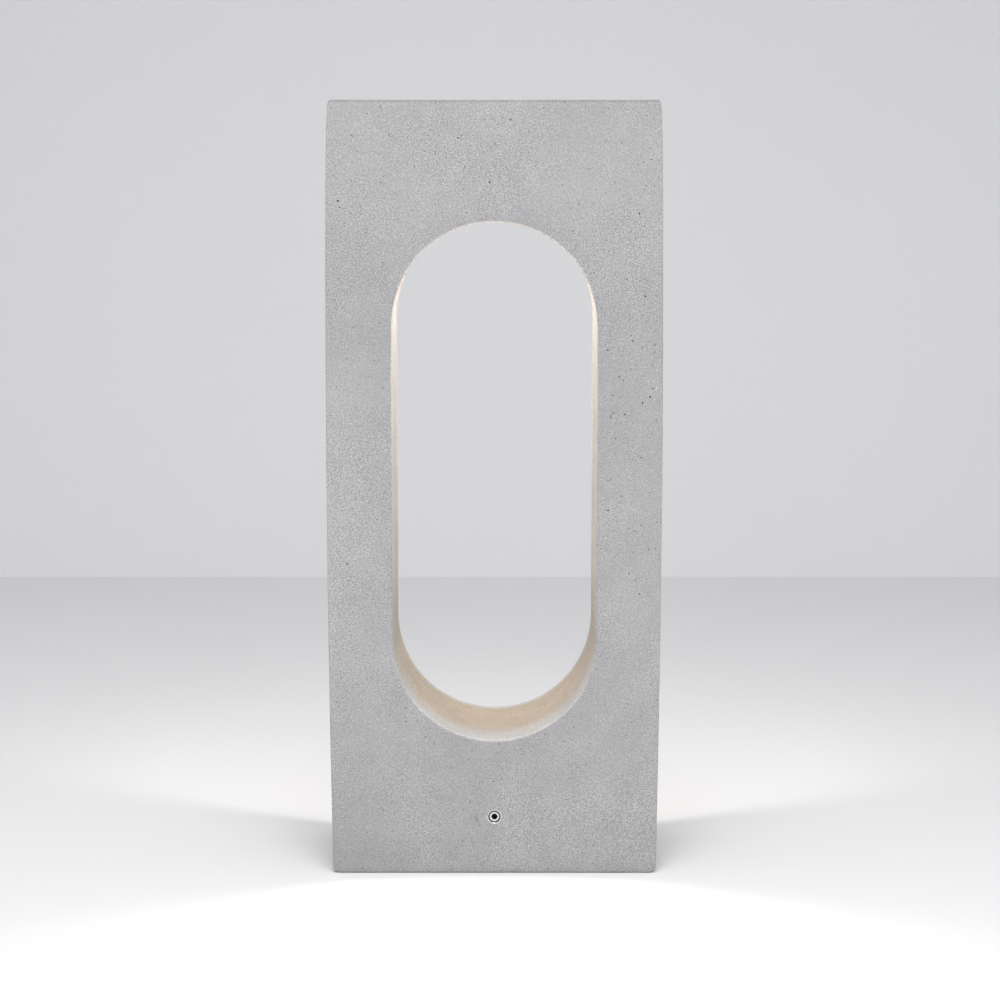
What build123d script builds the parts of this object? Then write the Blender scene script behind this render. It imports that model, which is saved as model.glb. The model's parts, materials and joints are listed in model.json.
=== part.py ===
"""Cast concrete garden light: an upright block with a stadium-shaped tunnel, lit from its crown.

The block drops over a folded steel ground bracket and two socket set screws clamp it there. A sealed
LED module hides in the crown of the tunnel, its driver in the cavity under the block, and the lead
between them runs through a tube cast into one leg. Millimetres, +Z up, front face towards -Y, origin
at the middle of the footprint.
"""

from build123d import *
import math
import os

# ---- Driving dimensions ----------------------------------------------------------------------------

HEIGHT = 400.0
WIDTH = 172.7  # across the belly of the bowed sides
DEPTH = 90.0
FOOT_WIDTH = 168.4
TOP_WIDTH = 168.8
BELLY_Z = 225.0  # height of the widest place
SHOULDER_Z = 358.0  # above this the sides round in faster
SHOULDER_WIDTH = 171.5
FOOT_CORNER_R = 4.0
TOP_CORNER_R = 2.0
ARRIS_R = 1.0

TUNNEL_R = 52.5
TUNNEL_LOW_Z = 123.0  # centre of the lower arc
TUNNEL_HIGH_Z = 285.5  # centre of the upper arc
TUNNEL_RIM_R = 1.2

CAVITY_LENGTH = 120.0  # wiring cavity in the underside
CAVITY_DEPTH = 54.0
CAVITY_Z = 50.0
CAVITY_CORNER_R = 8.0

POCKET_LENGTH = 70.0  # LED pocket in the crown
POCKET_DEPTH = 44.0
POCKET_Z = 362.0
POCKET_CORNER_R = 3.0

SCREW_Z = 29.8  # clamping set screws
SCREW_R = 3.0
SCREW_LENGTH = 20.0
SCREW_SINK = 0.35  # head end below the face
SOCKET_FLATS = 3.0
SOCKET_DEPTH = 4.0
SCREW_HEAD_CHAMFER, SCREW_TIP_CHAMFER = 0.5, 0.8
SLEEVE_R = 3.7
SLEEVE_CHAMFER = 0.2
RUNNING_GAP = 0.05

# Screws: shank radius, head radius, head height, and for cap screws the socket's corner radius.
CAP_M4 = (2.0, 3.8, 2.4, 1.5)
CAP_M3 = (1.5, 2.75, 2.0, 1.2)
CAP_M2_5 = (1.25, 2.2, 1.6, 1.0)
FLAT_COVER = (1.25, 2.4, 1.15)
FLAT_BEZEL = (1.25, 2.2, 0.95)
DRIVER_SCREW_LENGTH = 13.0
HOUSING_SCREW_LENGTH = 11.0
BOARD_SCREW_LENGTH = 4.6
COVER_SCREW_LENGTH = 14.0
BEZEL_SCREW_LENGTH = 10.0
SMALL_TAP_R = 1.3  # hole that a 2.5 mm screw cuts its thread in
SMALL_CLEAR_R = 1.4  # hole that it passes through

BRACKET_SHEET = 2.0
BRACKET_LENGTH = 110.0
BRACKET_Y = 24.6  # outer face of each upstand
UPSTAND_WIDTH = 50.0
UPSTAND_Z = 40.0
BEND_R = 2.0  # inside radius
BRACKET_CORNER_R = 5.0
SLOT_X = 40.0
SLOT_LENGTH = 14.0
SLOT_WIDTH = 7.0
CABLE_HOLE_R = 10.0
EARTH_X = 25.0
EARTH_WASHER_R, EARTH_WASHER_BORE_R, EARTH_WASHER_SHEET = 4.5, 2.1, 0.8
EARTH_SCREW_SHORT = 0.2  # its end stays this far above the ground
GROMMET_LIP, GROMMET_LIP_SHEET, GROMMET_LIP_ROUND = 2.5, 2.0, 0.9
GROMMET_WALL = 3.0

CASE_LEFT, CASE_RIGHT = -46.0, 16.0  # driver case ends
CASE_Y = 17.0
CASE_LOW_Z = 30.0
COVER_LOW_Z = 47.7
CASE_WALL = 2.0
COVER_SHEET = 2.0
CASE_CORNER_R, CASE_INNER_R = 3.0, 1.0
EAR_LENGTH = 10.0
EAR_Y = 7.0
EAR_LOW_Z = 44.7
EAR_HOLE_R = 2.2
BOARD_SHEET = 1.6
DRIVER_BOARD_Z = 44.4
BOARD_GAP = 0.5  # all round the driver board

TRANSFORMER_X = -28.0
CORE_SIZE, CORE_HEIGHT = (18.0, 14.0), 10.0
WINDING_SIZE, WINDING_R, WINDING_HEIGHT = (12.0, 20.0), 4.0, 6.0
CAPACITOR_PLACES = [(-14.0, -6.0), (-14.0, 6.0)]
CAPACITOR_R, CAPACITOR_HEIGHT, CAPACITOR_ROUND = 3.1, 8.5, 0.6
TERMINAL_X, TERMINAL_Y = 3.0, 6.0
TERMINAL_SIZE, TERMINAL_HEIGHT = (8.0, 7.0), 6.5
WIRE_HOLE_SIZE, WIRE_HOLE_DEPTH, WIRE_HOLE_Y, WIRE_HOLE_DROP = (2.2, 2.6), 5.0, 1.7, 3.6

GLAND_R = 6.0
GLAND_COLLAR_Z = 26.0
GLAND_BARREL_Z = 19.0
GLAND_CAP_Z = 14.0
GLAND_BARREL_R = 5.5
GLAND_BORE_R = 4.0
GLAND_STEM = 6.0  # above the case floor's underside
GLAND_NUT_R = 7.5  # half across flats of collar and locknut
LOCKNUT_SHEET = 3.0
SEAL_R, SEAL_BORE_R, SEAL_LENGTH, SEAL_SEAT = 4.7, 3.2, 5.9, 3.0
CAP_R = 7.0  # half across flats
CAP_HEIGHT, CAP_FLOOR, CAP_MOUTH_R, CAP_CHAMFER = 11.6, 2.0, 3.8, 1.2
OUTPUT_LIP, OUTPUT_LIP_SHEET = 1.2, 1.4  # output grommet

LEAD_R = 2.0
CONDUIT_R = 4.5
CONDUIT_BORE_R = 3.5

HOUSING_X, HOUSING_Y = 34.6, 21.6  # half sizes of the LED tray
DIFFUSER_X, DIFFUSER_Y = 29.0, 17.0
CHAMBER_X, CHAMBER_Y = 27.0, 15.0
BEZEL_LOW_Z = 340.0
BEZEL_SHEET = 2.6
DIFFUSER_SHEET = 3.0
GASKET_SHEET = 1.0
TRAY_ROOF = 3.2
PAD_SHEET = 0.8
LED_BOARD_X, LED_BOARD_Y = 20.5, 14.0
LED_SIZE, LED_SHEET = 3.0, 0.6
LED_ROWS, LED_COLUMNS = 3, 6
LED_PITCH_X, LED_PITCH_Y = 4.9, 7.0
LED_X = -4.0  # middle of the rows, clear of the connector
CONNECTOR_X, CONNECTOR_SIZE, CONNECTOR_HEIGHT = 14.5, (8.0, 8.0), 5.4
CONTACT_Y, CONTACT_SIZE, CONTACT_DEPTH = 2.0, 2.4, 5.0
HOUSING_CORNER_R, CHAMBER_CORNER_R, DIFFUSER_CORNER_R = 2.6, 2.0, 1.8
HOUSING_HOLE_R = 1.7
BEZEL_HOLE_DEPTH = 9.0
TAPPED_FLOOR = 0.6  # left above the board screws' holes
PAD_HOLE_R = 1.5
BEZEL_CHAMFER = 1.0
COVER_SINK_R, BEZEL_SINK_R = 2.5, 2.3
BEZEL_SCREW_SINK = 0.05

# Route of the LED lead in the XZ plane, from the driver up the leg to the LED module.
LEAD_ROUTE = [(10, 36), (36, 36), (56, 66), (69, 125), (69, 285), (60, 336), (47, 352.5), (19, 352.5)]
CONDUIT_START = (44, 48)  # on the second run of the route, just under the cavity's ceiling
LEAD_Z_IN, LEAD_Z_OUT = LEAD_ROUTE[0][1], LEAD_ROUTE[-1][1]
CONDUIT_END = (POCKET_LENGTH / 2, LEAD_Z_OUT)

# ---- Sizes worked out from them --------------------------------------------------------------------

FRONT_Y = DEPTH / 2
SCREW_OUT_Y = FRONT_Y - SCREW_SINK
SLEEVE_IN_Y = CAVITY_DEPTH / 2
CASE_MID = (CASE_LEFT + CASE_RIGHT) / 2
CASE_LENGTH = CASE_RIGHT - CASE_LEFT
CASE_FLOOR_Z = CASE_LOW_Z + CASE_WALL
EAR_X = (CASE_LEFT - EAR_LENGTH / 2, CASE_RIGHT + EAR_LENGTH / 2)
POST_INSET = 4.5
POST_R = 2.5
POST_HOLE_Z = CASE_FLOOR_Z + 2.0
DIFFUSER_Z = BEZEL_LOW_Z + BEZEL_SHEET
GASKET_Z = DIFFUSER_Z + DIFFUSER_SHEET
LEDGE_Z = GASKET_Z + GASKET_SHEET
CHAMBER_Z = POCKET_Z - TRAY_ROOF
PAD_Z = CHAMBER_Z - PAD_SHEET
LED_BOARD_Z = PAD_Z - BOARD_SHEET
SEAT_GAP = 0.2
HOUSING_SCREW_X = 23.7
BEZEL_SCREW_X, BEZEL_SCREW_Y = 32.0, 13.0
BOARD_SCREW_X, BOARD_SCREW_Y = 17.5, 11.0
INSERT_R, INSERT_LENGTH = 3.0, 10.0


def plan(z):
    """Horizontal sketch plane at height z."""
    return Plane.XY.offset(z)


def bend_radii(route):
    """Radius at each corner of a route: 0.45 of its shorter run over the tangent of half its turn."""
    radii = []
    for before, corner, after in zip(route, route[1:], route[2:]):
        run_in = Vector(*corner) - Vector(*before)
        run_out = Vector(*after) - Vector(*corner)
        shorter = min(run_in.length, run_out.length)
        radii.append(0.45 * shorter / math.tan(math.radians(run_in.get_angle(run_out) / 2)))
    return radii


def tube(route, radii, outer_r):
    """Round rod swept along a route in the XZ plane, straight runs joined by tangent arcs."""
    with BuildPart() as rod:
        with BuildLine(Plane((0, 0, 0), x_dir=(1, 0, 0), z_dir=(0, -1, 0))) as line:
            FilletPolyline(*route, radius=radii)
        path = line.wires()[0]
        with BuildSketch(Plane(path @ 0, z_dir=path % 0)):
            Circle(outer_r)
        sweep(path=path)
    return rod


def screw(size, length):
    """Cap screw standing on its head: head below z 0, shank above, hexagon socket underneath."""
    shank_r, head_r, head_height, socket_r = size
    with BuildPart() as whole:
        with BuildSketch(plan(-head_height)):
            Circle(head_r)
        extrude(amount=head_height)
        fillet(whole.edges().group_by(Axis.Z)[0], 0.3 * head_height)
        with BuildSketch(plan(-head_height)):
            RegularPolygon(socket_r, 6)
        extrude(amount=0.6 * head_height, mode=Mode.SUBTRACT)
        with BuildSketch():
            Circle(shank_r)
        extrude(amount=length)
        chamfer(whole.edges().group_by(Axis.Z)[-1], 0.25 * shank_r)
    return whole.part


def flat_screw(size, length):
    """Countersunk screw standing on its head: flat head from z 0 up, hexagon socket underneath."""
    shank_r, head_r, head_height = size
    with BuildPart() as whole:
        with BuildSketch():
            Circle(shank_r)
        extrude(amount=length)
        with BuildSketch(Plane.XZ):
            Polygon((0, 0), (head_r, 0), (shank_r, head_height), (0, head_height), align=None)
        revolve(axis=Axis.Z)
        with BuildSketch():
            RegularPolygon(0.45 * head_r, 6)
        extrude(amount=0.6 * head_height, mode=Mode.SUBTRACT)
    return whole.part


def ring(low_z, height, outer_r, inner_r):
    """Plain round ring or bush on the vertical axis."""
    with BuildPart() as whole:
        with BuildSketch(plan(low_z)):
            Circle(outer_r)
            Circle(inner_r, mode=Mode.SUBTRACT)
        extrude(amount=height)
    return whole.part


pieces = {}
lead_radii = bend_radii(LEAD_ROUTE)
conduit_route = [CONDUIT_START, *LEAD_ROUTE[2:-1], CONDUIT_END]
conduit_radii = lead_radii[1:]
print("lead bend radii", [round(radius, 1) for radius in lead_radii])

# ---- Concrete block --------------------------------------------------------------------------------

with BuildPart() as concrete_body:
    with BuildSketch(Plane.XZ):
        with BuildLine():
            Line((-FOOT_WIDTH / 2, 0), (FOOT_WIDTH / 2, 0))
            for side in (-1, 1):
                belly = (side * WIDTH / 2, BELLY_Z)
                TangentArc(belly, (side * FOOT_WIDTH / 2, 0), tangent=(0, -1))
                upper = TangentArc(belly, (side * SHOULDER_WIDTH / 2, SHOULDER_Z), tangent=(0, 1))
                TangentArc(upper @ 1, (side * TOP_WIDTH / 2, HEIGHT), tangent=upper % 1)
            Line((-TOP_WIDTH / 2, HEIGHT), (TOP_WIDTH / 2, HEIGHT))
        make_face()
    extrude(amount=FRONT_Y, both=True)
    fillet(concrete_body.edges().filter_by(Axis.Y).group_by(Axis.Z)[-1], TOP_CORNER_R)
    fillet(concrete_body.edges().filter_by(Axis.Y).group_by(Axis.Z)[0], FOOT_CORNER_R)
    fillet(concrete_body.faces().filter_by(Axis.Y).edges(), ARRIS_R)
    with BuildSketch(Plane.XZ):
        with Locations((0, (TUNNEL_LOW_Z + TUNNEL_HIGH_Z) / 2)):
            SlotCenterToCenter(TUNNEL_HIGH_Z - TUNNEL_LOW_Z, 2 * TUNNEL_R, rotation=90)
    extrude(amount=FRONT_Y, both=True, mode=Mode.SUBTRACT)
    for face in concrete_body.faces().filter_by(Axis.Y):
        fillet(face.inner_wires()[0].edges(), TUNNEL_RIM_R)
    # Wiring cavity in the underside and LED pocket in the crown.
    with BuildSketch():
        RectangleRounded(CAVITY_LENGTH, CAVITY_DEPTH, CAVITY_CORNER_R)
    extrude(amount=CAVITY_Z, mode=Mode.SUBTRACT)
    with BuildSketch(plan(TUNNEL_HIGH_Z)):
        RectangleRounded(POCKET_LENGTH, POCKET_DEPTH, POCKET_CORNER_R)
    extrude(amount=POCKET_Z - TUNNEL_HIGH_Z, mode=Mode.SUBTRACT)
    # Holes for the cast-in sleeves, inserts and conduit.
    with BuildSketch(Plane.XZ):
        with Locations((0, SCREW_Z)):
            Circle(SLEEVE_R)
    extrude(amount=FRONT_Y, both=True, mode=Mode.SUBTRACT)
    with BuildSketch(plan(CAVITY_Z)):
        with Locations(*[(x, 0) for x in EAR_X]):
            Circle(INSERT_R)
    extrude(amount=INSERT_LENGTH, mode=Mode.SUBTRACT)
    with BuildSketch(plan(POCKET_Z)):
        with Locations((-HOUSING_SCREW_X, 0), (HOUSING_SCREW_X, 0)):
            Circle(INSERT_R)
    extrude(amount=INSERT_LENGTH, mode=Mode.SUBTRACT)
    add(tube(conduit_route, conduit_radii, CONDUIT_R).part, mode=Mode.SUBTRACT)
pieces["concrete_body"] = concrete_body

# ---- Clamping set screws and their sleeves ---------------------------------------------------------

with BuildPart() as sleeve_front:
    with BuildSketch(Plane.XZ.offset(SLEEVE_IN_Y)):
        with Locations((0, SCREW_Z)):
            Circle(SLEEVE_R)
            Circle(SCREW_R + RUNNING_GAP, mode=Mode.SUBTRACT)
    extrude(amount=FRONT_Y - SLEEVE_IN_Y)
    chamfer(sleeve_front.faces().sort_by(Axis.Y)[0].inner_wires()[0].edges(), SLEEVE_CHAMFER)
pieces["sleeve_front"] = sleeve_front

with BuildPart() as set_screw_front:
    with BuildSketch(Plane.XZ.offset(SCREW_OUT_Y)):
        with Locations((0, SCREW_Z)):
            Circle(SCREW_R)
    extrude(amount=-SCREW_LENGTH)
    chamfer(set_screw_front.edges().group_by(Axis.Y)[0], SCREW_HEAD_CHAMFER)
    chamfer(set_screw_front.edges().group_by(Axis.Y)[-1], SCREW_TIP_CHAMFER)
    with BuildSketch(Plane.XZ.offset(SCREW_OUT_Y)):
        with Locations((0, SCREW_Z)):
            RegularPolygon(SOCKET_FLATS / 2, 6, major_radius=False)
    extrude(amount=-SOCKET_DEPTH, mode=Mode.SUBTRACT)
pieces["set_screw_front"] = set_screw_front

with BuildPart() as sleeve_rear:
    mirror(sleeve_front.part, about=Plane.XZ)
pieces["sleeve_rear"] = sleeve_rear

with BuildPart() as set_screw_rear:
    mirror(set_screw_front.part, about=Plane.XZ)
pieces["set_screw_rear"] = set_screw_rear

# ---- Ground bracket, its cable grommet and earth screw ---------------------------------------------

with BuildPart() as ground_bracket:
    with BuildSketch(Plane.YZ) as outside:
        with Locations((0, UPSTAND_Z / 2)):
            Rectangle(2 * BRACKET_Y, UPSTAND_Z)
        fillet(outside.vertices().group_by(Axis.Y)[0], BEND_R + BRACKET_SHEET)
    extrude(amount=UPSTAND_WIDTH / 2, both=True)
    with BuildSketch(Plane.YZ) as inside:
        with Locations((0, BRACKET_SHEET + UPSTAND_Z / 2)):
            Rectangle(2 * (BRACKET_Y - BRACKET_SHEET), UPSTAND_Z)
        fillet(inside.vertices().group_by(Axis.Y)[0], BEND_R)
    extrude(amount=UPSTAND_WIDTH / 2, both=True, mode=Mode.SUBTRACT)
    fillet(ground_bracket.edges().filter_by(Axis.Y).group_by(Axis.Z)[-1], BRACKET_CORNER_R)
    with BuildSketch():
        RectangleRounded(BRACKET_LENGTH, 2 * (BRACKET_Y - BEND_R - BRACKET_SHEET), BRACKET_CORNER_R)
    extrude(amount=BRACKET_SHEET)
    with BuildSketch():
        with Locations((-SLOT_X, 0), (SLOT_X, 0)):
            SlotOverall(SLOT_LENGTH, SLOT_WIDTH)
        Circle(CABLE_HOLE_R)
        with Locations((EARTH_X, 0)):
            Circle(CAP_M4[0] + RUNNING_GAP)
    extrude(amount=BRACKET_SHEET, mode=Mode.SUBTRACT)
pieces["ground_bracket"] = ground_bracket

with BuildPart() as cable_grommet:
    with BuildSketch():
        Circle(CABLE_HOLE_R)
    extrude(amount=BRACKET_SHEET)
    with BuildSketch(plan(BRACKET_SHEET)):
        Circle(CABLE_HOLE_R + GROMMET_LIP)
    extrude(amount=GROMMET_LIP_SHEET)
    fillet(cable_grommet.edges().group_by(Axis.Z)[-1], GROMMET_LIP_ROUND)
    with BuildSketch():
        Circle(CABLE_HOLE_R - GROMMET_WALL)
    extrude(amount=BRACKET_SHEET + GROMMET_LIP_SHEET, mode=Mode.SUBTRACT)
pieces["cable_grommet"] = cable_grommet

with BuildPart() as earth_washer:
    with Locations((EARTH_X, 0, 0)):
        add(ring(BRACKET_SHEET, EARTH_WASHER_SHEET, EARTH_WASHER_R, EARTH_WASHER_BORE_R))
pieces["earth_washer"] = earth_washer

with BuildPart() as earth_screw:
    with Locations(Location((EARTH_X, 0, BRACKET_SHEET + EARTH_WASHER_SHEET), (180, 0, 0))):
        add(screw(CAP_M4, BRACKET_SHEET + EARTH_WASHER_SHEET - EARTH_SCREW_SHORT))
pieces["earth_screw"] = earth_screw

# ---- Driver case in the cavity ---------------------------------------------------------------------

post_places = [(CASE_MID + sx * (CASE_LENGTH / 2 - POST_INSET), sy * (CASE_Y - POST_INSET))
               for sx in (-1, 1) for sy in (-1, 1)]
wire_hole_places = [(block_y + hole_y, DRIVER_BOARD_Z - WIRE_HOLE_DROP)
                    for block_y in (-TERMINAL_Y, TERMINAL_Y) for hole_y in (-WIRE_HOLE_Y, WIRE_HOLE_Y)]

with BuildPart() as driver_case:
    with BuildSketch(plan(CASE_LOW_Z)):
        with Locations((CASE_MID, 0)):
            RectangleRounded(CASE_LENGTH, 2 * CASE_Y, CASE_CORNER_R)
    extrude(amount=COVER_LOW_Z - CASE_LOW_Z)
    with BuildSketch(plan(CASE_FLOOR_Z)):
        with Locations((CASE_MID, 0)):
            RectangleRounded(CASE_LENGTH - 2 * CASE_WALL, 2 * (CASE_Y - CASE_WALL), CASE_INNER_R)
    extrude(amount=COVER_LOW_Z - CASE_FLOOR_Z, mode=Mode.SUBTRACT)
    with BuildSketch(plan(CASE_FLOOR_Z)):
        with Locations(*post_places):
            Circle(POST_R)
    extrude(amount=DRIVER_BOARD_Z - CASE_FLOOR_Z)
    # Mounting ears reach up to the cavity's ceiling.
    with BuildSketch(plan(EAR_LOW_Z)):
        with Locations(*[(x, 0) for x in EAR_X]):
            Rectangle(EAR_LENGTH, 2 * EAR_Y)
    extrude(amount=CAVITY_Z - EAR_LOW_Z)
    with BuildSketch(plan(EAR_LOW_Z)):
        with Locations(*[(x, 0) for x in EAR_X]):
            Circle(EAR_HOLE_R)
    extrude(amount=CAVITY_Z - EAR_LOW_Z, mode=Mode.SUBTRACT)
    with BuildSketch(plan(POST_HOLE_Z)):
        with Locations(*post_places):
            Circle(SMALL_TAP_R)
    extrude(amount=DRIVER_BOARD_Z - POST_HOLE_Z, mode=Mode.SUBTRACT)
    # Gland hole in the floor and lead hole in the right-hand end.
    with BuildSketch(plan(CASE_LOW_Z)):
        Circle(GLAND_R + RUNNING_GAP)
    extrude(amount=CASE_WALL, mode=Mode.SUBTRACT)
    with BuildSketch(Plane.YZ.offset(CASE_RIGHT - CASE_WALL)):
        with Locations((0, LEAD_Z_IN)):
            Circle(CONDUIT_BORE_R)
    extrude(amount=CASE_WALL, mode=Mode.SUBTRACT)
pieces["driver_case"] = driver_case

with BuildPart() as driver_cover:
    with BuildSketch(plan(COVER_LOW_Z)):
        with Locations((CASE_MID, 0)):
            RectangleRounded(CASE_LENGTH - 2 * SEAT_GAP, 2 * CASE_Y, CASE_CORNER_R)
        with Locations(*post_places):
            Circle(SMALL_TAP_R, mode=Mode.SUBTRACT)
    extrude(amount=COVER_SHEET)
    with Locations(*[(x, y, COVER_LOW_Z + COVER_SHEET) for x, y in post_places]):
        CounterSinkHole(SMALL_TAP_R, COVER_SINK_R)
pieces["driver_cover"] = driver_cover

with BuildPart() as cover_screws:
    with Locations(*[Location((x, y, COVER_LOW_Z + COVER_SHEET), (180, 0, 0)) for x, y in post_places]):
        add(flat_screw(FLAT_COVER, COVER_SCREW_LENGTH))
pieces["cover_screws"] = cover_screws

with BuildPart() as driver_board:
    with BuildSketch(plan(DRIVER_BOARD_Z)):
        with Locations((CASE_MID, 0)):
            Rectangle(CASE_LENGTH - 2 * (CASE_WALL + BOARD_GAP), 2 * (CASE_Y - CASE_WALL - BOARD_GAP))
        with Locations(*post_places):
            Circle(SMALL_CLEAR_R, mode=Mode.SUBTRACT)
    extrude(amount=BOARD_SHEET)
pieces["driver_board"] = driver_board

with BuildPart() as transformer:
    with BuildSketch(plan(DRIVER_BOARD_Z)):
        with Locations((TRANSFORMER_X, 0)):
            Rectangle(*CORE_SIZE)
    extrude(amount=-CORE_HEIGHT)
    with BuildSketch(plan(DRIVER_BOARD_Z - (CORE_HEIGHT - WINDING_HEIGHT) / 2)):
        with Locations((TRANSFORMER_X, 0)):
            RectangleRounded(*WINDING_SIZE, WINDING_R)
    extrude(amount=-WINDING_HEIGHT)
pieces["transformer"] = transformer

with BuildPart() as capacitors:
    with BuildSketch(plan(DRIVER_BOARD_Z)):
        with Locations(*CAPACITOR_PLACES):
            Circle(CAPACITOR_R)
    extrude(amount=-CAPACITOR_HEIGHT)
    fillet(capacitors.edges().group_by(Axis.Z)[0], CAPACITOR_ROUND)
pieces["capacitors"] = capacitors

with BuildPart() as terminal_blocks:
    with BuildSketch(plan(DRIVER_BOARD_Z)):
        with Locations((TERMINAL_X, -TERMINAL_Y), (TERMINAL_X, TERMINAL_Y)):
            Rectangle(*TERMINAL_SIZE)
    extrude(amount=-TERMINAL_HEIGHT)
    with BuildSketch(Plane.YZ.offset(TERMINAL_X + TERMINAL_SIZE[0] / 2)):
        with Locations(*wire_hole_places):
            Rectangle(*WIRE_HOLE_SIZE)
    extrude(amount=-WIRE_HOLE_DEPTH, mode=Mode.SUBTRACT)
pieces["terminal_blocks"] = terminal_blocks

with BuildPart() as driver_inserts:
    with Locations(*[(x, 0, 0) for x in EAR_X]):
        add(ring(CAVITY_Z, INSERT_LENGTH, INSERT_R, CAP_M4[0] + RUNNING_GAP))
pieces["driver_inserts"] = driver_inserts

with BuildPart() as driver_screws:
    with Locations(*[(x, 0, EAR_LOW_Z) for x in EAR_X]):
        add(screw(CAP_M4, DRIVER_SCREW_LENGTH))
pieces["driver_screws"] = driver_screws

# ---- Supply gland under the driver case ------------------------------------------------------------

with BuildPart() as input_gland_body:
    with BuildSketch(plan(GLAND_COLLAR_Z)):
        RegularPolygon(GLAND_NUT_R, 6, major_radius=False)
    extrude(amount=CASE_LOW_Z - GLAND_COLLAR_Z)
    with BuildSketch(plan(CASE_LOW_Z)):
        Circle(GLAND_R)
    extrude(amount=GLAND_STEM)
    with BuildSketch(plan(GLAND_BARREL_Z)):
        Circle(GLAND_BARREL_R)
    extrude(amount=GLAND_COLLAR_Z - GLAND_BARREL_Z)
    Hole(GLAND_BORE_R)
    with BuildSketch(plan(GLAND_BARREL_Z)):
        Circle(SEAL_R + RUNNING_GAP)
    extrude(amount=SEAL_SEAT, mode=Mode.SUBTRACT)
pieces["input_gland_body"] = input_gland_body

with BuildPart() as input_gland_seal:
    add(ring(GLAND_CAP_Z + CAP_FLOOR, SEAL_LENGTH, SEAL_R, SEAL_BORE_R))
pieces["input_gland_seal"] = input_gland_seal

with BuildPart() as input_gland_cap:
    with BuildSketch(plan(GLAND_CAP_Z)):
        RegularPolygon(CAP_R, 6, major_radius=False)
    extrude(amount=CAP_HEIGHT)
    chamfer(input_gland_cap.edges().group_by(Axis.Z)[0], CAP_CHAMFER)
    with BuildSketch(plan(GLAND_CAP_Z)):
        Circle(CAP_MOUTH_R)
    extrude(amount=CAP_FLOOR, mode=Mode.SUBTRACT)
    with BuildSketch(plan(GLAND_CAP_Z + CAP_FLOOR)):
        Circle(GLAND_BARREL_R + RUNNING_GAP)
    extrude(amount=CAP_HEIGHT - CAP_FLOOR, mode=Mode.SUBTRACT)
pieces["input_gland_cap"] = input_gland_cap

with BuildPart() as input_gland_locknut:
    with BuildSketch(plan(CASE_FLOOR_Z)):
        RegularPolygon(GLAND_NUT_R, 6, major_radius=False)
        Circle(GLAND_R + RUNNING_GAP, mode=Mode.SUBTRACT)
    extrude(amount=LOCKNUT_SHEET)
pieces["input_gland_locknut"] = input_gland_locknut

# ---- LED lead, its tube in the leg and its grommets ------------------------------------------------

with BuildPart() as conduit:
    add(tube(conduit_route, conduit_radii, CONDUIT_R).part)
    add(tube(conduit_route, conduit_radii, CONDUIT_BORE_R).part, mode=Mode.SUBTRACT)
pieces["conduit"] = conduit

led_lead = tube(LEAD_ROUTE, lead_radii, LEAD_R)
pieces["led_lead"] = led_lead

with BuildPart() as output_grommet:
    with BuildSketch(Plane.YZ.offset(CASE_RIGHT - CASE_WALL)):
        with Locations((0, LEAD_Z_IN)):
            Circle(CONDUIT_BORE_R)
    extrude(amount=CASE_WALL)
    with BuildSketch(Plane.YZ.offset(CASE_RIGHT)):
        with Locations((0, LEAD_Z_IN)):
            Circle(CONDUIT_BORE_R + OUTPUT_LIP)
    extrude(amount=OUTPUT_LIP_SHEET)
    with BuildSketch(Plane.YZ.offset(CASE_RIGHT - CASE_WALL)):
        with Locations((0, LEAD_Z_IN)):
            Circle(LEAD_R)
    extrude(amount=CASE_WALL + OUTPUT_LIP_SHEET, mode=Mode.SUBTRACT)
pieces["output_grommet"] = output_grommet

with BuildPart() as lead_grommet:
    with BuildSketch(Plane.YZ.offset(CHAMBER_X)):
        with Locations((0, LEAD_Z_OUT)):
            Circle(CONDUIT_BORE_R)
            Circle(LEAD_R, mode=Mode.SUBTRACT)
    extrude(amount=HOUSING_X - CHAMBER_X)
pieces["lead_grommet"] = lead_grommet

# ---- LED module in the crown -----------------------------------------------------------------------

four_bezel_places = [(sx * BEZEL_SCREW_X, sy * BEZEL_SCREW_Y) for sx in (-1, 1) for sy in (-1, 1)]
four_board_places = [(sx * BOARD_SCREW_X, sy * BOARD_SCREW_Y) for sx in (-1, 1) for sy in (-1, 1)]

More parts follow.
